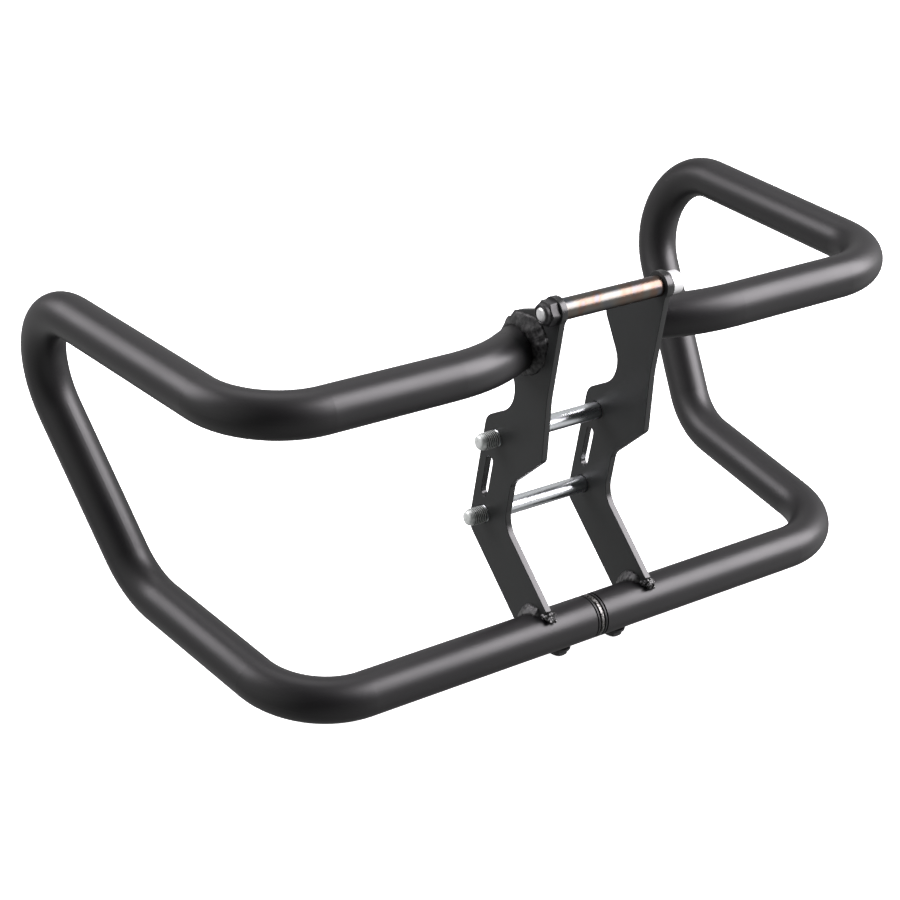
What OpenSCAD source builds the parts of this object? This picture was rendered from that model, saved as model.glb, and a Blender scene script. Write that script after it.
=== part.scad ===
// Motorcycle crash bars: two bent tube loops, joined end to end at the bottom,
// with a laser-cut plate welded to each one. The plates stand either side of
// the engine lugs and are held there by two long bolts and a spacer bolt.
//
// X runs across the motorcycle, Y points to the rear and Z points up. All sizes
// are measured from the middle of the tube joint. The finished part is then moved
// so that its origin is midway between the plates, on the lower engine bolt.

/* [Tube] */
// Outer diameter of the tube
tube_d = 25; // [22:0.5:28]
// Wall thickness of the tube
tube_wall = 2; // [1.5:0.1:3]
// Centreline radius of the four tight bends
bend_r = 44; // [36:1:50]
// Centreline radius of the easy bend beside the plate
easy_bend_r = 92; // [60:1:110]

/* [Loop corners] */
// Lower front corner, distance from the middle
low_front_x = 193; // [150:1:240]
// Lower rear corner, distance from the middle
low_rear_x = 207; // [160:1:260]
// Lower rear corner, distance behind the joint
low_rear_y = 143; // [115:1:175]
// Lower rear corner, height above the joint
low_rear_z = 22; // [10:1:40]
// Upper rear corner, distance from the middle
high_rear_x = 233; // [180:1:290]
// Upper rear corner, distance behind the joint
high_rear_y = 247; // [200:1:300]
// Upper rear corner, height above the joint
high_rear_z = 185; // [160:1:220]
// Upper front corner, distance from the middle
high_front_x = 220; // [180:1:270]
// Upper front corner, distance behind the joint
high_front_y = -5; // [-20:1:10]
// Upper front corner, height above the joint
high_front_z = 169; // [160:1:180]
// Bend beside the plate, distance from the middle
easy_x = 73; // [65:1:85]
// Bend beside the plate, height above the joint
easy_z = 166; // [162:1:170]
// Tube end on the plate, distance behind the joint
end_y = 21; // [18:1:24]
// Tube end on the plate, height above the joint
end_z = 164; // [160:1:168]

/* [Plates] */
// Thickness of each plate
plate_t = 4; // [3:0.5:6]
// Clear width between the plates, for the engine lugs
engine_gap = 68; // [56:1:80]
// Width of the plate's lower leg
leg_w = 31.5; // [28:0.5:36]
// Distance from the leg's middle line to the tube axis
leg_offset = 1.5; // [0:0.5:3]
// Slope of the lower leg from the level
leg_angle = 45; // [40:1:50]
// Distance from the foot's end face to the tube axis
foot_short = 5.7; // [4:0.1:8]
// Length of the leg's front edge, from the tube axis to the knee
knee_front = 61.1; // [55:0.1:65]
// Length of the leg's rear edge, from the tube axis to the knee
knee_rear = 76.8; // [72:0.1:80]
// Gap between the foot's saddle and the tube, filled by the weld
saddle_gap = 0.1; // [0.05:0.05:0.5]
// Radius of the lobe round the top bolt
lobe_r = 8.2; // [7.5:0.1:10]

/* [Slots] */
// Width of the slot between the engine bolts
slot_w = 5.8; // [4:0.1:7]
// Length of the slot over its round ends
slot_len = 26.5; // [20:0.5:29]
// Middle of the slot, distance behind the joint
slot_y = 47.3; // [45:0.1:48]
// Middle of the slot, height above the joint
slot_z = 79.3; // [78:0.1:82]
// Lean of the slot from the upright, forwards at its top
slot_lean = 13; // [8:1:18]

/* [Engine bolts] */
// Shank diameter of the two engine bolts
engine_bolt_d = 10; // [8:1:10]
// Outer diameter of the thread on the free ends of the engine bolts
engine_thread_d = 9.85; // [7.8:0.05:9.9]
// Width of the groove turned between the shank and that thread
thread_groove_w = 0.8; // [0.5:0.1:2]
// Depth of that groove below the thread
thread_groove_depth = 0.7; // [0.5:0.1:1]
// How far each engine bolt stands out of the left plate
engine_free_end = 12; // [5:0.5:30]
// Width across the flats of the engine bolt heads
engine_head_af = 16; // [13:0.5:17]
// Height of the engine bolt heads
engine_head_h = 6.4; // [5:0.1:7]
// Thickness of the washers under the engine bolt heads
engine_washer_t = 2; // [1:0.1:2.5]
// Outer diameter of the washers under the engine bolt heads
engine_washer_d = 20; // [18:0.5:21]
// Upper engine bolt, distance behind the joint
upper_bolt_y = 40; // [38:0.5:41]
// Upper engine bolt, height above the joint
upper_bolt_z = 104.5; // [103:0.5:106]
// Lower engine bolt, distance behind the joint
lower_bolt_y = 50.5; // [49:0.5:52]
// Lower engine bolt, height above the joint
lower_bolt_z = 55; // [53:0.5:56]

/* [Top bolt] */
// Thread size of the top bolt
top_bolt_d = 8; // [6:1:8]
// How far the top bolt stands out of its nut
top_bolt_tip = 0.4; // [0:0.1:6]
// Diameter of the top bolt's round head
top_head_d = 13; // [10:0.5:14]
// Height of the top bolt's round head
top_head_h = 8; // [6:0.5:9]
// Width across the flats of the socket in the head
top_socket_af = 6; // [4:0.5:7]
// Outer diameter of the spacer tube on the top bolt
spacer_d = 11.8; // [10.5:0.1:13]
// Thickness of the washer under the top bolt's head
top_washer_t = 1.6; // [1:0.1:2]
// Outer diameter of the washer under the top bolt's head
top_washer_d = 15; // [14:0.5:16]
// Width across the flats of the top nut
nut_af = 13; // [11:0.5:14]
// Height of the top nut with its locking collar
nut_h = 8; // [6:0.5:9]
// Height of the locking collar alone
nut_collar_h = 2.6; // [1.5:0.1:3]
// Top bolt, distance behind the joint
top_bolt_y = -8.5; // [-10:0.5:-7]
// Top bolt, height above the joint
top_bolt_z = 192.1; // [190:0.1:194]

/* [Tube joint] */
// Width of the bare collar in the middle of the joint
collar_w = 2.2; // [1.5:0.1:4]
// Width of the black ring on each side of the collar
ring_w = 2.8; // [2:0.1:4]
// Overall length of the coupling inside the two tubes
coupling_len = 72; // [60:1:80]
// Radial clearance of the coupling in the tube
coupling_gap = 0.1; // [0.05:0.05:0.3]
// Bore through the coupling
coupling_bore = 10; // [6:0.5:12]
// Small bevel on the edges of the collar and the rings
ring_bevel = 0.35; // [0.2:0.05:0.6]
// Distance from the middle to each joint bolt
joint_bolt_x = 20; // [16:1:26]
// Tilt of the joint bolts from straight down, to the rear
joint_bolt_tilt = 12; // [0:1:25]
// Thread size of the joint bolts
joint_bolt_d = 6; // [5:1:6]
// Length of a joint bolt under its head
joint_bolt_len = 10; // [8:1:12]
// Width across the flats of the joint bolt heads
joint_head_af = 10; // [8:0.5:10]
// Height of the joint bolt heads
joint_head_h = 4; // [3:0.5:5]
// Thickness of the joint bolt washers
joint_washer_t = 1.6; // [0.8:0.1:2]
// Outer diameter of the joint bolt washers
joint_washer_d = 14; // [11:0.5:16]

/* [Clearances] */
// Radial clearance of a bolt in a plain hole
hole_gap = 0.3; // [0.2:0.05:0.6]
// Radial clearance left where a thread is drawn plain
thread_gap = 0.05; // [0.02:0.01:0.1]
// Gap left between a weld and the tube it is laid on
weld_gap = 0.02; // [0.01:0.01:0.05]

/* [Welds] */
// Leg of the fillet round the tube on the foot
foot_weld = 5.5; // [3:0.5:6]
// Leg of the fillet round the tube end
end_weld = 5; // [3:0.5:6]
// Radius of the weld lump at the tip of the foot
toe_weld_r = 3.6; // [2.5:0.1:4]

/* [Hidden] */
$fn = 96;
tube_r = tube_d / 2;
bore_r = tube_r - tube_wall;
inner_x = engine_gap / 2;
outer_x = inner_x + plate_t;
joint_half = collar_w / 2 + ring_w;
engine_head_x = outer_x + engine_washer_t;
top_head_x = outer_x + top_washer_t;
engine_bolt_len = engine_head_x + outer_x + engine_free_end;
top_bolt_len = top_head_x + outer_x + nut_h + top_bolt_tip;
// how far a cutter runs past the faces that it cuts
over = 1;
// a bend is drawn this much thinner than the straights, which lap over its ends
bend_step = 0.02;
lap = 0.6;
// chamfer at a bolt's free end, as a part of its diameter
tip_chamfer = 0.12;

joint_end = [joint_half, 0, 0];
low_front = [low_front_x, 0, 0];
low_rear = [low_rear_x, low_rear_y, low_rear_z];
high_rear = [high_rear_x, high_rear_y, high_rear_z];
high_front = [high_front_x, high_front_y, high_front_z];
easy = [easy_x, 0, easy_z];
tube_end = [outer_x, end_y, end_z];

function unit(v) = v / norm(v);

// The three sides of a frame whose third side runs along a direction.
function side_of(w) = unit(cross(abs(w[0]) < 0.9 ? [1, 0, 0] : [0, 1, 0], w));

// Moves what is drawn along +Z so that it starts at p and runs along w.
module along(p, w) {
    a = side_of(w);
    b = cross(w, a);
    multmatrix([
        [a[0], b[0], w[0], p[0]],
        [a[1], b[1], w[1], p[1]],
        [a[2], b[2], w[2], p[2]],
        [0, 0, 0, 1]
    ]) children();
}

// Turns what is drawn along +Z to run along +X from the given place.
module across(x, y, z) {
    translate([x, y, z]) rotate([0, 90, 0]) children();
}

// Turns a flat shape drawn in (Y, Z) into a slab from one X to another.
module slab(x0, x1) {
    translate([x0, 0, 0]) rotate([90, 0, 90]) linear_extrude(x1 - x0) children();
}

// Where a bend of radius r starts before the corner b, and where it stops after it.
function cut_back(a, b, c, r) =
    r * tan(acos(unit(b - a) * unit(c - b)) / 2);
function bend_start(a, b, c, r) = b - unit(b - a) * cut_back(a, b, c, r);
function bend_stop(a, b, c, r) = b + unit(c - b) * cut_back(a, b, c, r);

// One straight stretch, which laps over the bends at its two ends.
module straight(from, to, r) {
    w = unit(to - from);
    along(from - w * lap, w) cylinder(h = norm(to - from) + 2 * lap, r = r);
}

// The bend at the corner b, between the lines a-b and b-c.
module bend(a, b, c, bend_r, r) {
    u = unit(b - a);
    v = unit(c - b);
    w = unit(cross(u, v));
    e = cross(u, w);
    o = bend_start(a, b, c, bend_r) - e * bend_r;
    multmatrix([
        [e[0], u[0], w[0], o[0]],
        [e[1], u[1], w[1], o[1]],
        [e[2], u[2], w[2], o[2]],
        [0, 0, 0, 1]
    ]) rotate_extrude(angle = acos(u * v)) translate([bend_r, 0]) circle(r);
}

// A solid bar along the right-hand loop, from the joint to past the plate's outer face.
module loop(r, start_back = 0) {
    past = tube_end + unit(tube_end - easy) * tube_d;
    start = joint_end - [start_back, 0, 0];
    corners = [start, low_front, low_rear, high_rear, high_front, easy, past];
    radii = [0, bend_r, bend_r, bend_r, bend_r, easy_bend_r, 0];
    for (i = [1 : 5])
        bend(corners[i - 1], corners[i], corners[i + 1], radii[i], r - bend_step);
    for (i = [0 : 5]) {
        from = i == 0 ? corners[0] + [lap, 0, 0]
            : bend_stop(corners[i - 1], corners[i], corners[i + 1], radii[i]);
        to = i == 5 ? corners[6]
            : bend_start(corners[i], corners[i + 1], corners[i + 2], radii[i + 1]);
        straight(from, to, r);
    }
}

// Everything on the plate's side of its outer face, near the tube's end.
module inside_of_plate() {
    translate([outer_x - 3 * tube_d, end_y - 2 * tube_d, end_z - 2 * tube_d])
        cube([3 * tube_d, 4 * tube_d, 4 * tube_d]);
}

module joint_bolt_axis() {
    translate([joint_bolt_x, 0, 0]) rotate([180 + joint_bolt_tilt, 0, 0]) children();
}

module tube_right() {
    color("#1d1e1f") difference() {
        loop(tube_r);
        loop(bore_r, over);
        inside_of_plate();
        joint_bolt_axis() cylinder(h = tube_d, r = joint_bolt_d / 2 + hole_gap);
    }
}

// Rounds the corner p1, between p0 and p2, with radius r.
function corner_arc(p0, p1, p2, r) =
    let (
        u = unit(p1 - p0),
        v = unit(p2 - p1),
        turn = acos(u * v),
        side = sign(u[0] * v[1] - u[1] * v[0]),
        start = p1 - u * r * tan(turn / 2),
        centre = start + side * r * [-u[1], u[0]],
        steps = max(2, ceil(turn / 7))
    )
    [for (k = [0 : steps])
        let (a = side * turn * k / steps, q = start - centre)
        centre + [q[0] * cos(a) - q[1] * sin(a), q[0] * sin(a) + q[1] * cos(a)]];

// A closed outline from corners written as [y, z, corner radius].
function rounded(c) =
    let (n = len(c))
    [for (i = [0 : n - 1])
        let (
            p0 = [c[(i + n - 1) % n][0], c[(i + n - 1) % n][1]],
            p1 = [c[i][0], c[i][1]],
            p2 = [c[(i + 1) % n][0], c[(i + 1) % n][1]]
        )
        each (c[i][2] == 0 ? [p1] : corner_arc(p0, p1, p2, c[i][2]))];

// A point of the lower leg: s runs down the leg and n across it, from the tube.
function leg_point(s, n) = [
    -s * cos(leg_angle) - n * sin(leg_angle),
    -s * sin(leg_angle) + n * cos(leg_angle)
];
leg_front = leg_offset + leg_w / 2;
leg_rear = leg_offset - leg_w / 2;
toe = leg_point(-foot_short, leg_front);
heel = leg_point(-foot_short, leg_rear);

rear_knee = leg_point(-knee_rear, leg_rear);
front_knee = leg_point(-knee_front, leg_front);

// Corners of the plate, from the top bolt backwards and round. Each one is placed
// from the bolt, the tube end or the leg that it lies beside.
plate_corners = [
    [top_bolt_y + 7.4, top_bolt_z - 0.6, 0],
    [end_y + 3, end_z + 20.2, 13],
    [end_y + 12, end_z + 9, 5],
    [end_y + 13, end_z + 1, 6],
    [upper_bolt_y - 22.6, upper_bolt_z + 26.6, 17],
    [upper_bolt_y + 8.2, upper_bolt_z + 11.4, 10],
    [rear_knee[0], rear_knee[1], 10],
    [heel[0], heel[1], 1],
    [toe[0], toe[1], 1],
    [front_knee[0], front_knee[1], 16],
    [upper_bolt_y - 14.9, upper_bolt_z - 22.3, 9],
    [upper_bolt_y - 41.6, upper_bolt_z - 0.2, 5],
    [end_y - 26, end_z - 23, 60],
    [top_bolt_y - 6.8, top_bolt_z - 1.8, 0]
];

module round_hole(y, z, r) {
    across(inner_x - over, y, z) cylinder(h = plate_t + 2 * over, r = r);
}

module slot() {
    flat = slot_len - slot_w;
    translate([inner_x - over, slot_y, slot_z]) rotate([slot_lean, 0, 0]) {
        translate([0, -slot_w / 2, -flat / 2]) cube([plate_t + 2 * over, slot_w, flat]);
        for (side = [-1, 1])
            translate([0, 0, side * flat / 2]) rotate([0, 90, 0])
                cylinder(h = plate_t + 2 * over, r = slot_w / 2);
    }
}

module plate_right() {
    color("#26282a") difference() {
        union() {
            slab(inner_x, outer_x) polygon(rounded(plate_corners));
            across(inner_x, top_bolt_y, top_bolt_z) cylinder(h = plate_t, r = lobe_r);
        }
        round_hole(0, 0, tube_r + saddle_gap);
        round_hole(top_bolt_y, top_bolt_z, top_bolt_d / 2 + hole_gap);
        round_hole(upper_bolt_y, upper_bolt_z, engine_bolt_d / 2 + hole_gap);
        round_hole(lower_bolt_y, lower_bolt_z, engine_bolt_d / 2 + hole_gap);
        slot();
    }
}

// Fillet round the slanting end of the tube, on the plate's outer face.
module upper_weld_right() {
    w = unit(easy - tube_end);
    color("#2b2c2e") intersection() {
        slab(outer_x, outer_x + 2 * end_weld) polygon(rounded(plate_corners));
        difference() {
            hull() {
                oval(tube_end, tube_r + end_weld, w);
                oval(tube_end + w * end_weld, tube_r + 0.4, w);
            }
            along(tube_end - w * tube_d, w) cylinder(h = 3 * tube_d, r = tube_r + weld_gap);
        }
    }
}

// A thin upright slice of a slanting round bar that points along w.
module oval(p, r, w) {
    across(p[0], p[1], p[2]) scale([1, 1 / w[0], 1]) cylinder(h = 0.1, r = r, $fn = 64);
}

// The block over the foot that the fillets may fill.
module over_foot(x0, x1) {
    rotate([leg_angle - 90, 0, 0]) translate([x0, -leg_front, foot_short])
        cube([x1 - x0, leg_w, tube_d]);
}

// Half a cone round the tube, on one face of the foot. Its wide end lies on the face.
module foot_fillet(face_x, out) {
    x0 = min(face_x, face_x + out * foot_weld);
    difference() {
        intersection() {
            translate([face_x, 0, 0]) rotate([0, out * 90, 0])
                cylinder(h = foot_weld, r1 = tube_r + foot_weld, r2 = tube_r + 0.1);
            over_foot(x0, x0 + foot_weld);
        }
        across(x0 - over, 0, 0) cylinder(h = foot_weld + 2 * over, r = tube_r + weld_gap);
    }
}

// A lump of weld in the corner between the foot's end face and the tube.
module weld_lump(n, r) {
    p = leg_point(0.8 - foot_short, n);
    difference() {
        translate([inner_x + plate_t / 2, p[0], p[1]]) sphere(r);
        across(inner_x - 2 * r, 0, 0) cylinder(h = plate_t + 4 * r, r = tube_r + weld_gap);
        rotate([leg_angle - 90, 0, 0])
            translate([inner_x - 2 * r, -tube_d, foot_short - weld_gap])
                cube([plate_t + 4 * r, 2 * tube_d, tube_d]);
    }
}

module foot_weld_right() {
    color("#2b2c2e") {
        foot_fillet(outer_x, 1);
        foot_fillet(inner_x, -1);
        weld_lump((leg_front + tube_r) / 2, toe_weld_r);
        weld_lump((leg_rear - tube_r) / 2, 0.8 * toe_weld_r);
    }
}

// The turned coupling that both tubes slip over, with a collar between them.
module joint_coupling() {
    r = bore_r - coupling_gap;
    color("#a9aaac") difference() {
        union() {
            across(-coupling_len / 2, 0, 0) bevelled(coupling_len, r, 1);
            across(-collar_w / 2, 0, 0) bevelled(collar_w, tube_r, ring_bevel);
        }
        across(-coupling_len / 2 - over, 0, 0)
            cylinder(h = coupling_len + 2 * over, r = coupling_bore / 2);
        for (side = [0, 1])
            mirror([side, 0, 0]) joint_bolt_axis()
                cylinder(h = tube_d, r = joint_bolt_d / 2 + thread_gap);
    }
}

// A round bar with both ends bevelled.
module bevelled(h, r, c) {
    translate([0, 0, c]) cylinder(h = h - 2 * c, r = r);
    cylinder(h = c, r1 = r - c, r2 = r);
    translate([0, 0, h - c]) cylinder(h = c, r1 = r, r2 = r - c);
}

module joint_ring_right() {
    color("#232425") difference() {
        across(collar_w / 2, 0, 0) bevelled(ring_w, tube_r, ring_bevel);
        across(collar_w / 2 - over, 0, 0)
            cylinder(h = ring_w + 2 * over, r = bore_r - coupling_gap + thread_gap);
    }
}

// A six-sided head or nut blank with its outer corners turned off.
module hexagon(af, h) {
    intersection() {
        cylinder(h = h, d = af / cos(30), $fn = 6);
        cylinder(h = h, r1 = 0.48 * af + h / tan(30), r2 = 0.48 * af);
    }
}

// A flat round washer.
module washer(d, hole_r, t) {
    difference() {
        cylinder(h = t, d = d);
        translate([0, 0, -over]) cylinder(h = t + 2 * over, r = hole_r);
    }
}

// A bolt's plain shank from its head at 0 down to its bevelled tip.
module shank(d, len) {
    c = tip_chamfer * d;
    translate([0, 0, c - len]) cylinder(h = len - c, d = d);
    translate([0, 0, -len]) cylinder(h = c, d1 = d - 2 * c, d2 = d);
}

module joint_bolt_right() {
    color("#202122") joint_bolt_axis() translate([0, 0, tube_r + joint_washer_t]) {
        shank(joint_bolt_d, joint_bolt_len);
        hexagon(joint_head_af, joint_head_h);
    }
}

module joint_washer_right() {
    color("#202122") joint_bolt_axis() translate([0, 0, tube_r])
        washer(joint_washer_d, joint_bolt_d / 2 + hole_gap, joint_washer_t);
}

// Round-headed bolt across the tops of the plates, driven by a socket.
module top_bolt() {
    color("#c9ccd0") across(top_head_x, top_bolt_y, top_bolt_z) {
        shank(top_bolt_d, top_bolt_len);
        difference() {
            union() {
                cylinder(h = top_head_h - 0.6, d = top_head_d);
                translate([0, 0, top_head_h - 0.6])
                    cylinder(h = 0.6, d1 = top_head_d, d2 = top_head_d - 1.2);
            }
            translate([0, 0, top_head_h / 2])
                cylinder(h = top_head_h, d = top_socket_af / cos(30), $fn = 6);
        }
    }
}

module top_washer() {
    color("#2a2b2c") across(outer_x, top_bolt_y, top_bolt_z)
        washer(top_washer_d, top_bolt_d / 2 + hole_gap, top_washer_t);
}

// Spacer tube on the top bolt, which keeps the plates apart.
module top_spacer() {
    color("#9a8f86") across(-inner_x, top_bolt_y, top_bolt_z) difference() {
        bevelled(engine_gap, spacer_d / 2, 0.4);
        translate([0, 0, -over])
            cylinder(h = engine_gap + 2 * over, r = top_bolt_d / 2 + hole_gap);
    }
}

// Nut with a round locking collar, on the left plate.
module top_nut() {
    hex_h = nut_h - nut_collar_h;
    collar_d = 0.9 * nut_af;
    color("#232425") translate([-outer_x, top_bolt_y, top_bolt_z]) rotate([0, -90, 0])
        difference() {
            union() {
                hexagon(nut_af, hex_h);
                translate([0, 0, hex_h - 0.5]) cylinder(h = nut_collar_h - 0.5, d = collar_d);
                translate([0, 0, nut_h - 1]) cylinder(h = 1, d1 = collar_d, d2 = collar_d - 2);
            }
            translate([0, 0, -over])
                cylinder(h = nut_h + 2 * over, r = top_bolt_d / 2 + thread_gap);
        }
}

// Long hexagon-headed bolt. Its bare shank passes right through both plates and its
// threaded end stands out at the left, past a narrow groove.
module engine_bolt(y, z) {
    shank_len = engine_head_x + outer_x;
    color("#c3c7cb") across(engine_head_x, y, z) {
        difference() {
            shank(engine_thread_d, engine_bolt_len);
            translate([0, 0, -shank_len - thread_groove_w]) difference() {
                cylinder(h = thread_groove_w, d = 2 * engine_bolt_d);
                translate([0, 0, -over]) cylinder(
                    h = thread_groove_w + 2 * over,
                    d = engine_thread_d - 2 * thread_groove_depth
                );
            }
        }
        translate([0, 0, -shank_len]) cylinder(h = shank_len, d = engine_bolt_d);
        hexagon(engine_head_af, engine_head_h);
    }
}

module engine_washer(y, z) {
    color("#c3c7cb") across(outer_x, y, z)
        washer(engine_washer_d, engine_bolt_d / 2 + hole_gap, engine_washer_t);
}

module engine_bolt_upper() { engine_bolt(upper_bolt_y, upper_bolt_z); }
module engine_bolt_lower() { engine_bolt(lower_bolt_y, lower_bolt_z); }
module engine_washer_upper() { engine_washer(upper_bolt_y, upper_bolt_z); }
module engine_washer_lower() { engine_washer(lower_bolt_y, lower_bolt_z); }

// Moves the part from the joint's frame to its own.
module placed() {
    translate([0, -lower_bolt_y, -lower_bolt_z]) children();
}

// The left-hand pieces are mirror images of the right-hand ones.
module tube_left() { mirror([1, 0, 0]) tube_right(); }
module plate_left() { mirror([1, 0, 0]) plate_right(); }
module upper_weld_left() { mirror([1, 0, 0]) upper_weld_right(); }
module foot_weld_left() { mirror([1, 0, 0]) foot_weld_right(); }
module joint_ring_left() { mirror([1, 0, 0]) joint_ring_right(); }
module joint_bolt_left() { mirror([1, 0, 0]) joint_bolt_right(); }
module joint_washer_left() { mirror([1, 0, 0]) joint_washer_right(); }

placed() tube_left();
placed() tube_right();
placed() plate_left();
placed() plate_right();
placed() upper_weld_left();
placed() upper_weld_right();
placed() foot_weld_left();
placed() foot_weld_right();
placed() joint_coupling();
placed() joint_ring_left();
placed() joint_ring_right();
placed() joint_bolt_left();
placed() joint_bolt_right();
placed() joint_washer_left();
placed() joint_washer_right();
placed() top_bolt();
placed() top_washer();
placed() top_spacer();
placed() top_nut();
placed() engine_bolt_upper();
placed() engine_bolt_lower();
placed() engine_washer_upper();
placed() engine_washer_lower();
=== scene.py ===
# Motorcycle crash bars: two bent tube loops joined at the bottom, each with a
# laser-cut plate welded on, held to the engine by long bolts.
# X runs across the motorcycle, Y to the rear, Z up. The origin is midway between
# the plates, on the lower engine bolt.
import bpy
import bmesh
import math
from mathutils import Matrix, Vector, noise


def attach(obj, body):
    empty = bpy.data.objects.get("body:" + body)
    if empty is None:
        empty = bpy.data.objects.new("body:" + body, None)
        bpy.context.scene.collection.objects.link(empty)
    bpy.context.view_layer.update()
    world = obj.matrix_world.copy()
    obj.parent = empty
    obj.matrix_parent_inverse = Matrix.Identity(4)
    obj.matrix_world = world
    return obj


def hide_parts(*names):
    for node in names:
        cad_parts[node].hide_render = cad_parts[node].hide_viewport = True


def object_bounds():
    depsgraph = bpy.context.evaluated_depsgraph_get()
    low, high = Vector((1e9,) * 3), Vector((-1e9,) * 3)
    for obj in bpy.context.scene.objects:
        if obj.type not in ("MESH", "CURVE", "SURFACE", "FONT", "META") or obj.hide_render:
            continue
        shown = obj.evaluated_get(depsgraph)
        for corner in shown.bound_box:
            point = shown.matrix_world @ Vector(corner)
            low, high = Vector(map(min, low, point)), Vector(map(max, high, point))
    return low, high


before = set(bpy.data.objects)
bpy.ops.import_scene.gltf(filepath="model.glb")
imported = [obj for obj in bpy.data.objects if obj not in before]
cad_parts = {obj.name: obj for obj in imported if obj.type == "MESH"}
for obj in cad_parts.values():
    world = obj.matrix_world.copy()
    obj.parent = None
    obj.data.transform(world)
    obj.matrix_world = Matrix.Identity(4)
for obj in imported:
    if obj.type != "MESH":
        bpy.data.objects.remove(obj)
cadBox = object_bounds()
mm = 0.001
mergeGap = 0.001 * mm
looseGap = 0.002 * mm
scene = bpy.context.scene
print("frame loaded")


# Colours are written as sRGB hex values, Blender's nodes want linear ones
def hexColour(text):
    parts = [int(text[i:i + 2], 16) / 255 for i in (1, 3, 5)]
    linear = [p / 12.92 if p <= 0.04045 else ((p + 0.055) / 1.055) ** 2.4 for p in parts]
    return (*linear, 1.0)


# Adds one node, sets what is given and links what is given
def addNode(tree, kind, settings=None, links=None):
    node = tree.nodes.new(kind)
    for name, value in (settings or {}).items():
        if isinstance(name, int) or name in node.inputs:
            node.inputs[name].default_value = value
        else:
            setattr(node, name, value)
    for name, source in (links or {}).items():
        tree.links.new(source, node.inputs[name])
    return node


# Camera: the photograph's angle, 23 degrees down on the left plate's side
camera = {
    "place": (-708.3, -893.2, 511.8),
    "yaw": 35.932,
    "pitch": 22.950,
    "lens": 87.08,
    "sensor": 36,
}
cameraData = bpy.data.cameras.new("camera")
cameraData.sensor_width = camera["sensor"]
cameraData.lens = camera["lens"]
cameraData.clip_start = 0.05
cameraData.clip_end = 100
cameraObject = bpy.data.objects.new("camera", cameraData)
cameraObject.location = Vector(camera["place"]) * mm
cameraObject.rotation_euler = (math.radians(90 - camera["pitch"]), 0, math.radians(-camera["yaw"]))
scene.collection.objects.link(cameraObject)
scene.camera = cameraObject
scene.view_settings.view_transform = "Standard"


# A direction from the object: azimuth 0 is the rear and 90 the right, height 90 is up
def pointing(azimuth, height):
    around, up = math.radians(azimuth), math.radians(height)
    return Vector((math.sin(around) * math.cos(up), math.cos(around) * math.cos(up), math.sin(up)))


# Softboxes: azimuth and height in degrees, size in metres and power in watts; their
# light is a touch magenta, as the highlights in the photograph are
softboxes = {
    "keyRight": {"azimuth": 127, "height": 32, "size": (1.5, 1.6), "power": 85},
    "fillRear": {"azimuth": -45, "height": 36, "size": (1.2, 1.2), "power": 27},
    "top": {"azimuth": 20, "height": 65, "size": (1.2, 1.2), "power": 6},
}
lightColour = (1.0, 0.96, 1.0)
lightDistance = 2.0
middle = Vector((0, 0.03, 0.04))
for name, box in softboxes.items():
    away = pointing(box["azimuth"], box["height"])
    lamp = bpy.data.lights.new(name, "AREA")
    lamp.shape = "RECTANGLE"
    lamp.size, lamp.size_y = box["size"]
    lamp.energy = box["power"]
    lamp.color = lightColour
    lampObject = bpy.data.objects.new(name, lamp)
    lampObject.location = middle + away * lightDistance
    lampObject.rotation_euler = (-away).to_track_quat("-Z", "Y").to_euler()
    scene.collection.objects.link(lampObject)

# Room: black all round, with soft pale patches of wall, ceiling and table; each patch
# has its direction, its half width in degrees and its strength
roomPatches = {
    "wallRight": {"azimuth": 72, "height": 34, "width": 60, "strength": 0.46},
    "ceiling": {"azimuth": 0, "height": 80, "width": 45, "strength": 0.34},
    "tableRight": {"azimuth": 115, "height": -8, "width": 50, "strength": 0.78},
    "tableRear": {"azimuth": 5, "height": -5, "width": 60, "strength": 0.36},
    "tableLeft": {"azimuth": -60, "height": -20, "width": 60, "strength": 0.25},
    "wallFront": {"azimuth": -84, "height": 20, "width": 54, "strength": 0.62},
    "tableFront": {"azimuth": 180, "height": -30, "width": 50, "strength": 0.20},
    "tableBelow": {"azimuth": 0, "height": -90, "width": 100, "strength": 0.25},
}
world = bpy.data.worlds.new("studio room")
world.use_nodes = True
tree = world.node_tree
direction = addNode(tree, "ShaderNodeTexCoord").outputs["Generated"]
light = None
for name, patch in roomPatches.items():
    towards = pointing(patch["azimuth"], patch["height"])
    facing = addNode(tree, "ShaderNodeVectorMath", {"operation": "DOT_PRODUCT", 1: towards},
                     {0: direction})
    rim = math.cos(math.radians(patch["width"]))
    glow = addNode(tree, "ShaderNodeMapRange",
                   {"interpolation_type": "SMOOTHSTEP", "From Min": rim, "To Max": patch["strength"]},
                   {"Value": facing.outputs["Value"]}).outputs["Result"]
    if light:
        glow = addNode(tree, "ShaderNodeMath", {"operation": "ADD"}, {0: glow, 1: light}).outputs["Value"]
    light = glow
tree.links.new(light, tree.nodes["Background"].inputs["Strength"])
tree.nodes["Background"].inputs["Color"].default_value = (1, 1, 1, 1)
scene.world = world
print("camera and lights done")


# Each finish starts from a plain shader; coats and paper have an IOR near 1.5, and a
# metal keeps the default one
plainIor = 1.5


def startMaterial(name, colour, roughness, metallic=0.0):
    material = bpy.data.materials.new(name)
    material.use_nodes = True
    shader = material.node_tree.nodes["Principled BSDF"]
    shader.inputs["Base Color"].default_value = hexColour(colour)
    shader.inputs["Roughness"].default_value = roughness
    shader.inputs["Metallic"].default_value = metallic
    if metallic < 0.5:
        shader.inputs["IOR"].default_value = plainIor
    place = addNode(material.node_tree, "ShaderNodeTexCoord").outputs["Object"]
    return material, material.node_tree, shader, place


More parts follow.
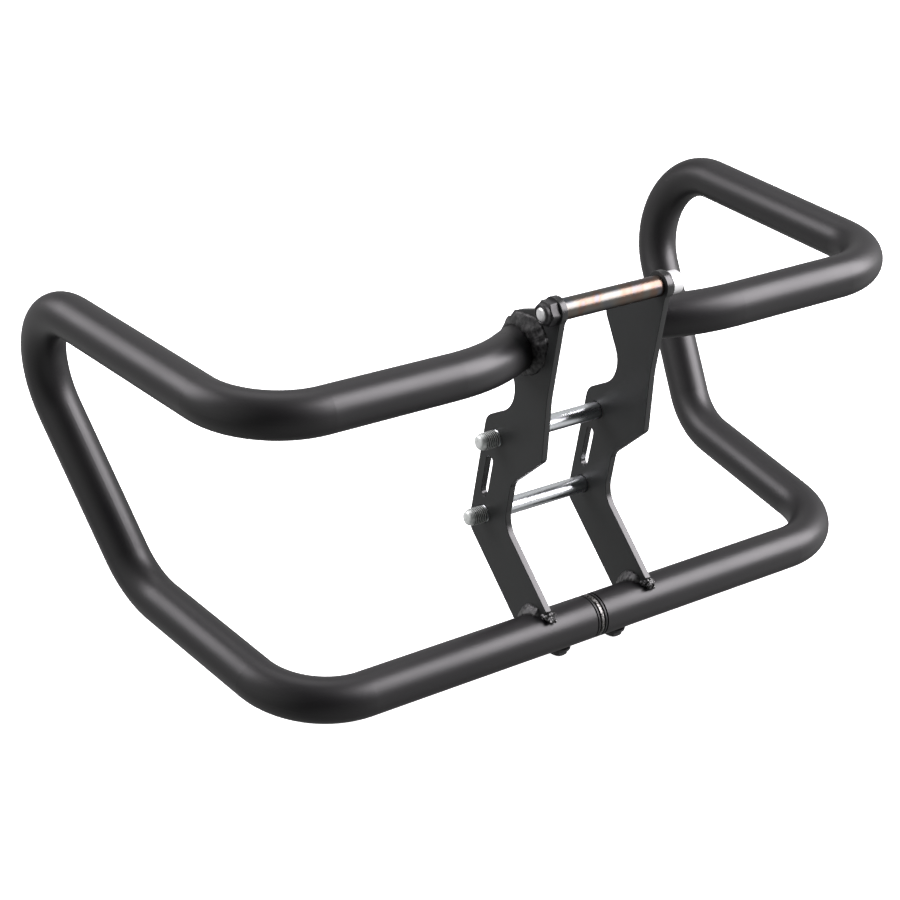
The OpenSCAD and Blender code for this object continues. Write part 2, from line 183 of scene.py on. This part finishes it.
# A noise texture whose grains are about size millimetres across
def grains(tree, place, size, detail=2.0, stretch=None):
    if stretch:
        place = addNode(tree, "ShaderNodeMapping", {"Scale": stretch}, {"Vector": place}).outputs[0]
    return addNode(tree, "ShaderNodeTexNoise", {"Scale": 1 / (size * mm), "Detail": detail},
                   {"Vector": place}).outputs["Fac"]


# Joins a height to the shader's normal, depth is in millimetres
def addBump(tree, shader, height, depth, strength=1.0):
    bump = addNode(tree, "ShaderNodeBump", {"Strength": strength, "Distance": depth * mm},
                   {"Height": height})
    tree.links.new(bump.outputs["Normal"], shader.inputs["Normal"])


# Lets a noise, which seldom leaves 0.3 to 0.7, move the roughness between two values
def varyRoughness(tree, shader, height, low, high):
    spread = addNode(tree, "ShaderNodeMapRange",
                     {"From Min": 0.3, "From Max": 0.7, "To Min": low, "To Max": high}, {"Value": height})
    tree.links.new(spread.outputs["Result"], shader.inputs["Roughness"])


# Lets a noise mix two colours: below low it is the one, above high the other
def varyColour(tree, shader, height, one, other, low=0.35, high=0.65):
    share = addNode(tree, "ShaderNodeMapRange", {"From Min": low, "From Max": high}, {"Value": height})
    mixed = addNode(tree, "ShaderNodeMix",
                    {"data_type": "RGBA", 6: hexColour(one), 7: hexColour(other)},
                    {0: share.outputs["Result"]})
    tree.links.new(mixed.outputs[2], shader.inputs["Base Color"])


# Satin black powder coat: sprayed and baked, so its skin has a fine orange peel
tubeCoat, tree, shader, place = startMaterial("satin powder coat", "#171618", 0.41)
addBump(tree, shader, grains(tree, place, 1.4), 0.02, 0.5)
varyRoughness(tree, shader, grains(tree, place, 40.0), 0.39, 0.44)
varyColour(tree, shader, grains(tree, place, 60.0), "#151416", "#1a191a")

# Powder coat over laser-cut plate, a little greyer and flat where it is broad
plateCoat, tree, shader, place = startMaterial("matte powder coat", "#222424", 0.46)
addBump(tree, shader, grains(tree, place, 1.2), 0.02, 0.5)
varyColour(tree, shader, grains(tree, place, 25.0), "#212323", "#242626")

# The same coat over a cut edge, where it pulls thin and shines
edgeCoat, tree, shader, place = startMaterial("powder coat over cut edge", "#1f2020", 0.27)
addBump(tree, shader, grains(tree, place, 1.5), 0.02, 0.5)

# Powder coat over a weld bead: thick and thin over the bead's ripples
weldCoat, tree, shader, place = startMaterial("powder coat over weld bead", "#1c1c1d", 0.46)
addBump(tree, shader, grains(tree, place, 1.0, 4.0), 0.16, 0.9)
varyColour(tree, shader, grains(tree, place, 2.8, 3.0), "#0f0f10", "#404040", 0.42, 0.66)

# Foot weld beads: the black powder coat painted grey instead of black, a painted sheen for the light
# their upward slope catches; the mottle in it is random
weldCoatPaintedSheen, tree, shader, place = startMaterial("weld bead coat with painted sheen", "#4a4a4a", 0.38)
addBump(tree, shader, grains(tree, place, 0.7, 4.0), 0.16, 0.9)
varyColour(tree, shader, grains(tree, place, 2.5, 3.0), "#303031", "#646464")

# Spatter lumps: rough bare weld metal with black coat left in the hollows
spatterSteel, tree, shader, place = startMaterial("bare weld spatter", "#6a6a6a", 0.36, 0.7)
addBump(tree, shader, grains(tree, place, 0.9, 4.0), 0.2, 0.9)
varyColour(tree, shader, grains(tree, place, 1.8, 3.0), "#1b1b1c", "#8e8e8e", 0.42, 0.6)

# Black rings: phosphated steel, dull with a grey bloom
ringCoat, tree, shader, place = startMaterial("phosphated steel", "#1d1d1e", 0.50)
varyColour(tree, shader, grains(tree, place, 1.5, 3.0), "#161617", "#2a2a2b")

# Black nuts and screws: black oxide on forged steel, rubbed lighter on its edges
blackSteel, tree, shader, place = startMaterial("black oxide steel", "#161617", 0.42)
addBump(tree, shader, grains(tree, place, 0.8, 3.0), 0.03, 0.6)
varyColour(tree, shader, grains(tree, place, 1.6, 3.0), "#121213", "#2c2c2e")

# Bare collar: turned steel, with fine rings and dull patches
collarSteel, tree, shader, place = startMaterial("turned steel", "#8f8e8c", 0.42, 1.0)
addBump(tree, shader, grains(tree, place, 0.7, 3.0), 0.05, 0.6)
varyColour(tree, shader, grains(tree, place, 1.0, 3.0), "#353432", "#92918f", 0.40, 0.62)

# Spacer: drawn steel tube, browned and blued in bands by the heat of cutting
spacerSteel, tree, shader, place = startMaterial("heat tinted steel tube", "#625f5b", 0.31, 1.0)
tint = grains(tree, place, 18.0, 2.0, (1.0, 0.8, 0.8))
tintBands = addNode(tree, "ShaderNodeValToRGB", {}, {"Fac": tint})
ramp = tintBands.color_ramp
ramp.elements[0].position, ramp.elements[0].color = 0.36, hexColour("#565a5f")
ramp.elements[1].position, ramp.elements[1].color = 0.68, hexColour("#655c4f")
for stop, colour in ((0.47, "#63615d"), (0.53, "#645d56"), (0.575, "#69564b"), (0.63, "#585a60")):
    ramp.elements.new(stop).color = hexColour(colour)
tree.links.new(tintBands.outputs["Color"], shader.inputs["Base Color"])
addBump(tree, shader, grains(tree, place, 0.6, 3.0, (0.15, 1.0, 1.0)), 0.02, 0.5)

# Bolts: bright zinc plate over drawn bar, smooth with a faint drift in its gloss
brightZinc, tree, shader, place = startMaterial("bright zinc plate", "#e6eaed", 0.28, 1.0)
varyRoughness(tree, shader, grains(tree, place, 5.0, 2.0, (0.3, 1.0, 1.0)), 0.24, 0.32)

# Small bolt's head and tip: zinc plate over a forged face, which scatters it a little
capZinc, tree, shader, place = startMaterial("zinc plate on forged head", "#f2f3f3", 0.36, 0.6)
addBump(tree, shader, grains(tree, place, 1.1, 2.0), 0.03, 0.5)

# Threads: the same plate over a rolled thread, which scatters it
threadZinc, tree, shader, place = startMaterial("zinc plate on thread", "#f1f6f3", 0.34, 0.4)
addBump(tree, shader, grains(tree, place, 0.6, 3.0), 0.03, 0.6)
varyColour(tree, shader, grains(tree, place, 1.8, 2.0), "#e4eae6", "#fafdfb")

# Bottom of the thread, painted a mid grey as painted shade in the thread's grooves
threadRootPaintedShade = startMaterial("zinc at thread root with painted shade", "#7c807c", 0.42, 0.8)[0]
print("materials done")


# Hangs a finished mesh on the frame: smooth, with its sharp edges kept sharp
def finishPiece(shape, name, finishes, replaced, sharp=38, weighted=True):
    mesh = bpy.data.meshes.new(name)
    shape.to_mesh(mesh)
    shape.free()
    for finish in finishes:
        mesh.materials.append(finish)
    mesh.shade_smooth()
    mesh.set_sharp_from_angle(angle=math.radians(sharp))
    piece = bpy.data.objects.new(name, mesh)
    scene.collection.objects.link(piece)
    if weighted:
        steady = piece.modifiers.new("even shading", "WEIGHTED_NORMAL")
        steady.keep_sharp = True
    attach(piece, "root")
    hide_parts(*replaced)


# Adds one bmesh to another, through a mesh that is then thrown away
def joinShapes(target, part):
    mesh = bpy.data.meshes.new("part")
    part.to_mesh(mesh)
    part.free()
    target.from_mesh(mesh)
    bpy.data.meshes.remove(mesh)


# Turns a profile of (radius, height) corners in millimetres about the Z axis
def turned(shape, profile, steps, closed=False):
    points = [shape.verts.new((r * mm, 0, h * mm)) for r, h in profile]
    edges = [shape.edges.new(pair) for pair in zip(points, points[1:])]
    if closed:
        edges.append(shape.edges.new((points[-1], points[0])))
    bmesh.ops.spin(shape, geom=points + edges, cent=(0, 0, 0), axis=(0, 0, 1),
                   angle=2 * math.pi, steps=steps, use_merge=True)
    bmesh.ops.remove_doubles(shape, verts=shape.verts, dist=mergeGap)
    bmesh.ops.recalc_face_normals(shape, faces=shape.faces)


# Hexagons: a wall turned at wallRadius is pushed out to the flats; eased corners reach less
# than a sharp one's 1.155, and the chamfer starts where the round top face ends
hexagon = {"wallRadius": 9.0, "cornerReach": 1.135, "topFace": 0.485, "chamfer": 30}


# A hexagon's reach at an angle, as a multiple of half its flats
def hexReach(angle):
    part = (math.degrees(angle) + 30) % 60 - 30
    return min(1 / math.cos(math.radians(part)), hexagon["cornerReach"])


# Pushes a turned wall out to a hexagon, and takes its corners off at one end
def makeHexagon(shape, wall, flats, top, turn=0.0, chamferTop=True):
    slope = math.tan(math.radians(hexagon["chamfer"]))
    for vert in shape.verts:
        radius = math.hypot(vert.co.x, vert.co.y) / mm
        if math.isclose(radius, wall, abs_tol=0.01):
            reach = flats / 2 * hexReach(math.atan2(vert.co.y, vert.co.x) + math.radians(turn))
            vert.co.x *= reach / radius
            vert.co.y *= reach / radius
            if chamferTop and math.isclose(vert.co.z / mm, top, abs_tol=0.01):
                vert.co.z -= max(0, reach - hexagon["topFace"] * flats) * slope * mm


# Moves a shape drawn along Z so that it starts at a place and runs along +X or -X
def layAcross(shape, place, side=1):
    turn = Matrix.Rotation(math.radians(90 * side), 4, "Y")
    bmesh.ops.transform(shape, matrix=Matrix.Translation(Vector(place) * mm) @ turn, verts=shape.verts)


# Plates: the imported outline, with its laser-cut edges broken; a face whose normal lies
# along X is the broad one, and the others are cut edges
plateEdges = {"break": 0.35, "segments": 2, "sharperThan": 50, "flatWithin": 0.5, "broad": 0.92}
for side in ("left", "right"):
    plate = bmesh.new()
    plate.from_mesh(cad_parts["plate_" + side].data)
    bmesh.ops.remove_doubles(plate, verts=plate.verts, dist=looseGap)
    bmesh.ops.dissolve_limit(plate, angle_limit=math.radians(plateEdges["flatWithin"]),
                             verts=plate.verts, edges=plate.edges)
    sharpFrom = math.radians(plateEdges["sharperThan"])
    edges = [e for e in plate.edges if e.is_manifold and e.calc_face_angle(0) > sharpFrom]
    bmesh.ops.bevel(plate, geom=edges, offset=plateEdges["break"] * mm, offset_type="OFFSET",
                    segments=plateEdges["segments"], profile=0.5, affect="EDGES", material=-1,
                    clamp_overlap=True)
    plate.normal_update()
    for face in plate.faces:
        face.material_index = 0 if abs(face.normal.x) > plateEdges["broad"] else 1
    finishPiece(plate, "plate_with_broken_edges_" + side, [plateCoat, edgeCoat],
                ["plate_" + side])
print("plates done")


# Engine bolts: hexagon head on a low flange, bare shank, a grooved neck behind the thread,
# and a thread whose first turns are domed; headAt, threadFrom and tip are places along X
engineBolt = {
    "headFlats": 16, "headHeight": 6.4, "topFace": 0.45, "flange": 7.4, "flangeHeight": 0.5,
    "shank": 5.0, "shankEdge": 0.3, "groove": 4.25, "crest": 4.92, "root": 4.1, "pitch": 1.25,
    "headAt": 40.0, "threadFrom": -38.2, "tip": -50.0, "domeFrom": 2.5, "dome": 1.2,
    "neck": 0.8, "neckEdge": 0.2, "neckOverlap": 0.1, "flank": 0.3,
}
# the rounded nose in front of the thread, as (radius, height) corners
boltNose = [
    (0, 0), (1.8, 0.04), (2.9, 0.25), (3.7, 0.7), (4.25, 1.4), (4.45, 2.1), (4.62, 2.7), (4.62, 3.5),
    (0, 3.5),
]
boltPlaces = {"upper": (-10.5, 49.5), "lower": (0.0, 0.0)}


# One thread: a crest swept up a helix, then cut square at both ends; its profile gives
# radius and height in pitches
def addThread(shape, crest, root, pitch, start, stop, dome):
    steps = 40
    thread = bmesh.new()
    profile = [(root, 0), (crest, 0.15), (crest, 0.72), (root, 0.87), (root, 1.0)]
    points = [thread.verts.new((r * mm, 0, (start - pitch + h * pitch) * mm)) for r, h in profile]
    edges = [thread.edges.new(pair) for pair in zip(points, points[1:])]
    turns = math.ceil((stop - start) / pitch) + 2
    bmesh.ops.spin(thread, geom=points + edges, cent=(0, 0, 0), axis=(0, 0, 1),
                   dvec=(0, 0, pitch / steps * mm), angle=2 * math.pi * turns, steps=steps * turns)
    bmesh.ops.remove_doubles(thread, verts=thread.verts, dist=looseGap)
    for height, up in ((start, -1), (stop, 1)):
        everything = thread.verts[:] + thread.edges[:] + thread.faces[:]
        cut = bmesh.ops.bisect_plane(thread, geom=everything, plane_co=(0, 0, height * mm),
                                     plane_no=(0, 0, up), clear_outer=True)
        rim = [e for e in cut["geom_cut"] if isinstance(e, bmesh.types.BMEdge)]
        bmesh.ops.contextual_create(thread, geom=rim)
    # the first turns run out into a dome that starts just under the root
    smallest = root - 0.3
    for vert in thread.verts:
        depth = (vert.co.z - start * mm) / (dome * mm)
        if depth < 1:
            reach = (smallest + (crest - smallest) * math.sqrt(max(0, 1 - (1 - depth) ** 2))) * mm
            radius = math.hypot(vert.co.x, vert.co.y)
            if radius > reach:
                vert.co.x *= reach / radius
                vert.co.y *= reach / radius
    before = set(shape.faces)
    joinShapes(shape, thread)
    return [f for f in shape.faces if f not in before]


for name, (y, z) in boltPlaces.items():
    b = engineBolt
    bolt = bmesh.new()
    # drawn along Z from the left tip at 0 to the head at the top
    threadEnd = b["threadFrom"] - b["tip"]
    shankEnd = threadEnd + b["neck"]
    neckEnd = threadEnd - b["neckOverlap"]
    headAt = b["headAt"] - b["tip"]
    flangeTop = headAt + b["flangeHeight"]
    headTop = headAt + b["headHeight"]
    hexWall = hexagon["wallRadius"]
    turned(bolt, [
        (0, headTop), (b["topFace"] * b["headFlats"], headTop), (hexWall, headTop),
        (hexWall, flangeTop), (b["flange"], flangeTop), (b["flange"], headAt), (b["shank"], headAt),
        (b["shank"], shankEnd + b["shankEdge"]), (b["shank"] - b["shankEdge"], shankEnd),
        (b["groove"], shankEnd - b["neckEdge"]), (b["groove"], neckEnd), (0, neckEnd),
    ], steps=72)
    makeHexagon(bolt, hexWall, b["headFlats"], headTop)
    # faces lying deeper than the crest's flank get the root finish, the painted shade in the grooves
    paintedShadeRadius = b["crest"] - b["flank"]
    for face in addThread(bolt, b["crest"], b["root"], b["pitch"], b["domeFrom"], threadEnd, b["dome"]):
        middleRadius = math.hypot(*face.calc_center_median().xy) / mm
        face.material_index = 2 if middleRadius < paintedShadeRadius else 1
    nose = bmesh.new()
    turned(nose, boltNose, steps=48)
    for face in nose.faces:
        face.material_index = 1
    joinShapes(bolt, nose)
    layAcross(bolt, (b["tip"], y, z))
    finishPiece(bolt, "engine_bolt_turned_" + name, [brightZinc, threadZinc, threadRootPaintedShade],
                ["engine_bolt_" + name])
print("engine bolts done")

# Top bolt: round head with a hexagon socket at the right, bevelled tip at the left; the
# tip is a list of (radius, height) corners
topBolt = {
    "axis": (-59.0, 137.1), "tipAt": -46.4, "shank": 3.95, "head": 6.5, "headFrom": 39.6,
    "headTo": 47.6, "underEdge": 0.4, "topEdge": 0.9, "topEdgeMiddle": 0.3, "rim": 4.3,
    "socketWall": 3.2, "socketFlats": 6, "socketDepth": 4.0, "drillPoint": 1,
    "tip": [(0, -0.15), (2.4, -0.05), (3.1, 0.15), (3.6, 0.5)], "tipEnd": 1.1,
}
t = topBolt
bolt = bmesh.new()
headFrom = t["headFrom"] - t["tipAt"]
headTo = t["headTo"] - t["tipAt"]
socketFloor = headTo - t["socketDepth"]
turned(bolt, t["tip"] + [
    (t["shank"], t["tipEnd"]), (t["shank"], headFrom),
    (t["head"] - t["underEdge"], headFrom), (t["head"], headFrom + t["underEdge"]),
    (t["head"], headTo - t["topEdge"]), (t["head"] - t["topEdgeMiddle"], headTo - t["topEdgeMiddle"]),
    (t["head"] - t["topEdge"], headTo), (t["rim"], headTo), (t["socketWall"], headTo),
    (t["socketWall"], socketFloor), (0, socketFloor - t["drillPoint"]),
], steps=72)
makeHexagon(bolt, t["socketWall"], t["socketFlats"], headTo, chamferTop=False)
layAcross(bolt, (t["tipAt"], *t["axis"]))
finishPiece(bolt, "top_bolt_turned", [capZinc], ["top_bolt"])

# Top nut: hexagon with rounded corners and a rolled-in locking collar, which is a list of
# (radius, height) corners from the hexagon to the bore
topNut = {
    "seat": 38.0, "flats": 13, "hexHeight": 5.4, "bore": 4.05, "turn": 3,
    "collar": [
        (6.0, 5.4), (5.85, 5.6), (5.85, 7.1), (5.6, 7.65), (5.15, 8.0), (4.4, 8.0), (4.05, 7.7),
    ],
}
n = topNut
nut = bmesh.new()
hexWall = hexagon["wallRadius"]
turned(nut, [
    (n["bore"], 0), (hexWall, 0), (hexWall, n["hexHeight"]),
    (hexagon["topFace"] * n["flats"], n["hexHeight"]),
] + n["collar"], steps=72, closed=True)
makeHexagon(nut, hexWall, n["flats"], n["hexHeight"], turn=n["turn"])
layAcross(nut, (-n["seat"], *t["axis"]), side=-1)
finishPiece(nut, "top_nut_with_collar", [blackSteel], ["top_nut"])

# Spacer: a length of tube with its ends faced off
spacerTube = {"outer": 5.9, "bore": 4.3, "half": 34.0, "edge": 0.4}
p = spacerTube
spacer = bmesh.new()
turned(spacer, [
    (p["bore"], -p["half"]), (p["outer"] - p["edge"], -p["half"]),
    (p["outer"], -p["half"] + p["edge"]), (p["outer"], p["half"] - p["edge"]),
    (p["outer"] - p["edge"], p["half"]), (p["bore"], p["half"]),
], steps=72, closed=True)
layAcross(spacer, (0, *t["axis"]))
finishPiece(spacer, "top_spacer_tube", [spacerSteel], ["top_spacer"])

# Joint rings: a groove beside each leaves a dark line on both its sides
jointRing = {
    "outer": 12.45, "inner": 10.45, "groove": 10.8, "near": 1.12, "far": 3.88, "step": 0.8,
    "edge": 0.2,
}
jointAxis = (-50.5, -55.0)
for name, side in (("left", -1), ("right", 1)):
    r = jointRing
    ring = bmesh.new()
    first, last = r["near"] + r["step"], r["far"] - r["step"]
    turned(ring, [
        (r["inner"], r["near"]), (r["groove"], r["near"]), (r["groove"], first),
        (r["outer"] - r["edge"], first), (r["outer"], first + r["edge"]),
        (r["outer"], last - r["edge"]), (r["outer"] - r["edge"], last),
        (r["groove"], last), (r["groove"], r["far"]), (r["inner"], r["far"]),
    ], steps=96, closed=True)
    layAcross(ring, (0, *jointAxis), side=side)
    finishPiece(ring, "joint_ring_rounded_" + name, [ringCoat], ["joint_ring_" + name])
print("top bolt, nut, spacer and rings done")


# Lumps and ripples of laid weld metal, with their heights in millimetres; the shift gives
# each weld its own pattern, and a lump is about 3 mm across and a ripple 1 mm
perLump, perRipple = 0.3, 0.95


def roughen(shape, lumps, ripples, shift):
    shape.normal_update()
    moves = []
    for vert in shape.verts:
        spot = vert.co / mm + Vector((shift, 0, 0))
        swell = lumps * noise.noise(spot * perLump) + ripples * noise.noise(spot * perRipple)
        moves.append(vert.normal * mm * swell)
    for vert, move in zip(shape.verts, moves):
        vert.co += move


# A bead laid in a corner, swept about the Z axis through the angles in its girth list,
# which gives at each angle the reach along the face and the height along the tube; a
# blunt of 2 gives a round section and of 1 a flat one
def layBead(girth, tube, steps, blunt):
    start, stop = girth[0][0], girth[-1][0]
    under = 0.2
    bead = bmesh.new()
    circle = bmesh.ops.create_circle(bead, segments=24, radius=mm)["verts"]
    bmesh.ops.rotate(bead, verts=circle, cent=(0, 0, 0),
                     matrix=Matrix.Rotation(math.radians(90), 3, "X"))
    bmesh.ops.translate(bead, verts=circle, vec=(tube * mm, 0, 0))
    bmesh.ops.rotate(bead, verts=circle, cent=(0, 0, 0),
                     matrix=Matrix.Rotation(math.radians(start), 3, "Z"))
    whole = stop - start >= 360
    bmesh.ops.spin(bead, geom=bead.verts[:] + bead.edges[:], cent=(0, 0, 0), axis=(0, 0, 1),
                   angle=math.radians(stop - start), steps=steps, use_merge=whole)
    bmesh.ops.remove_doubles(bead, verts=bead.verts, dist=mergeGap)
    if not whole:
        bmesh.ops.holes_fill(bead, edges=[e for e in bead.edges if e.is_boundary], sides=0)
    for vert in bead.verts:
        angle = (math.degrees(math.atan2(vert.co.y, vert.co.x)) - start + 0.01) % 360 + start
        angle = min(angle, stop)
        for (first, reach, rise), (second, nextReach, nextRise) in zip(girth, girth[1:]):
            if first <= angle <= second:
                share = (angle - first) / (second - first)
                share = share * share * (3 - 2 * share)
                reach += (nextReach - reach) * share
                rise += (nextRise - rise) * share
                break
        outward = math.hypot(vert.co.x, vert.co.y) / mm - tube
        upward = vert.co.z / mm
        flat = (abs(outward) ** blunt + abs(upward) ** blunt) ** (-1 / blunt)
        outward *= flat * (reach if outward > 0 else 1.0)
        upward *= flat * (rise if upward > 0 else under)
        turn = math.atan2(vert.co.y, vert.co.x)
        radius = (tube + outward) * mm
        vert.co = (radius * math.cos(turn), radius * math.sin(turn), upward * mm)
    bmesh.ops.recalc_face_normals(bead, faces=bead.faces)
    return bead


# Upper welds: a thick bead round the slanting tube end, piled up at the top and front;
# angle 0 is the rear and 90 the top, and the slant is the tube's way along Y and Z
upperWeld = {
    "end": (-29.5, 109.0), "tube": 12.5, "slant": (-0.6, 0.057), "plateFace": 38.0,
    "topEdge": 130.2, "sunk": 0.2, "steps": 300, "blunt": 1.05, "lumps": 0.6, "ripples": 0.16,
    "shift": 40,
    "girth": [
        (0, 1.2, 1.2), (40, 1.4, 1.3), (70, 4.5, 1.8), (90, 8.4, 2.4), (120, 14.0, 3.0),
        (150, 13.0, 2.8), (180, 8.5, 2.4), (210, 5.5, 2.2), (240, 3.2, 1.8), (270, 2.0, 1.6),
        (320, 1.6, 1.4), (360, 1.2, 1.2),
    ],
}
for name, side in (("left", -1), ("right", 1)):
    u = upperWeld
    bead = layBead(u["girth"], u["tube"], u["steps"], u["blunt"])
    stretch = math.hypot(1, u["slant"][0])
    roughen(bead, u["lumps"], u["ripples"], u["shift"] * side)
    for vert in bead.verts:
        across, rise, depth = vert.co / mm
        depth = max(-u["sunk"], depth)
        z = min(u["end"][1] + rise + depth * u["slant"][1], u["topEdge"])
        y = u["end"][0] + across * stretch + depth * u["slant"][0]
        vert.co = Vector((side * (u["plateFace"] + depth), y, z)) * mm
    bmesh.ops.recalc_face_normals(bead, faces=bead.faces)
    finishPiece(bead, "upper_weld_bead_" + name, [weldCoat], ["upper_weld_" + name],
                sharp=180, weighted=False)

# Foot welds: a bead on each face of the foot, and spatter lumps at the toe and the heel;
# a lump's spot is its Y and Z, its place aside of the plate's middle, and its radius
footWeld = {
    "faces": (38.0, 34.0), "middle": 36.0, "tube": 12.5, "sunk": 0.3, "steps": 130, "blunt": 1.2,
    "lumps": 0.6, "ripples": 0.3, "shift": 30,
    "girth": [
        (-18, 0.5, 0.6), (-8, 3.4, 3.0), (20, 4.8, 4.2), (60, 5.2, 4.6), (92, 4.2, 3.4),
        (106, 0.5, 0.6),
    ],
    "lumpSpots": [
        (-57.8, -41.8, 1.4, 2.5), (-56.4, -42.2, -1.2, 1.9), (-59.4, -43.2, 0.2, 1.8),
        (-58.2, -41.6, 3.4, 1.6), (-60.2, -43.8, 2.6, 1.2), (-39.0, -60.4, 0.4, 2.6),
        (-38.4, -61.6, -1.6, 1.9), (-40.4, -59.0, 1.7, 1.8),
    ],
    "spatterLumps": 1.0, "spatterRipples": 0.8, "spatterShift": 17,
}
for name, side in (("left", -1), ("right", 1)):
    w = footWeld
    beads = bmesh.new()
    for face, out in zip(w["faces"], (1, -1)):
        bead = layBead(w["girth"], w["tube"], w["steps"], w["blunt"])
        roughen(bead, w["lumps"], w["ripples"], w["shift"] * side + face)
        for vert in bead.verts:
            across, rise, depth = vert.co / mm
            x = side * (face + out * max(-w["sunk"], depth))
            vert.co = Vector((x, jointAxis[0] + across, jointAxis[1] + rise)) * mm
        joinShapes(beads, bead)
    for y, z, aside, size in w["lumpSpots"]:
        lump = bmesh.new()
        bmesh.ops.create_icosphere(lump, subdivisions=4, radius=size * mm)
        bmesh.ops.translate(lump, verts=lump.verts,
                            vec=Vector((side * w["middle"] + aside, y, z)) * mm)
        roughen(lump, w["spatterLumps"], w["spatterRipples"], w["spatterShift"] * side)
        for face in lump.faces:
            face.material_index = 1
        joinShapes(beads, lump)
    bmesh.ops.recalc_face_normals(beads, faces=beads.faces)
    # the beads wear the coat with the painted sheen, and the lumps wear bare spatter
    finishPiece(beads, "foot_weld_beads_" + name, [weldCoatPaintedSheen, spatterSteel],
                ["foot_weld_" + name], sharp=180, weighted=False)
print("welds done")

# Pieces whose CAD shape is shown as it is
finishes = {
    "tube_left": tubeCoat, "tube_right": tubeCoat,
    "joint_coupling": collarSteel,
    "joint_bolt_left": blackSteel, "joint_bolt_right": blackSteel,
    "joint_washer_left": blackSteel, "joint_washer_right": blackSteel,
    "top_washer": blackSteel,
    "engine_washer_upper": brightZinc, "engine_washer_lower": brightZinc,
}
for name, finish in finishes.items():
    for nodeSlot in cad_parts[name].material_slots:
        nodeSlot.material = finish

# Floor: a wide white sheet just under the lowest screws, lit so that it stays plain
floorSheet = {"half": 30, "gap": 0.5}
floorShape = bmesh.new()
bmesh.ops.create_grid(floorShape, x_segments=1, y_segments=1, size=floorSheet["half"])
bmesh.ops.translate(floorShape, verts=floorShape.verts,
                    vec=(0, 0, cadBox[0][2] - floorSheet["gap"] * mm))
floorMesh = bpy.data.meshes.new("floor")
floorShape.to_mesh(floorMesh)
floorShape.free()
floor = bpy.data.objects.new("floor", floorMesh)
scene.collection.objects.link(floor)
floorPaper, tree, shader, place = startMaterial("white studio paper", "#ffffff", 0.9)
shader.inputs["Emission Color"].default_value = (1, 1, 1, 1)
shader.inputs["Emission Strength"].default_value = 1.0
floorMesh.materials.append(floorPaper)
floor.visible_diffuse = False
floor.visible_glossy = False
floor.visible_shadow = False
print("floor done")
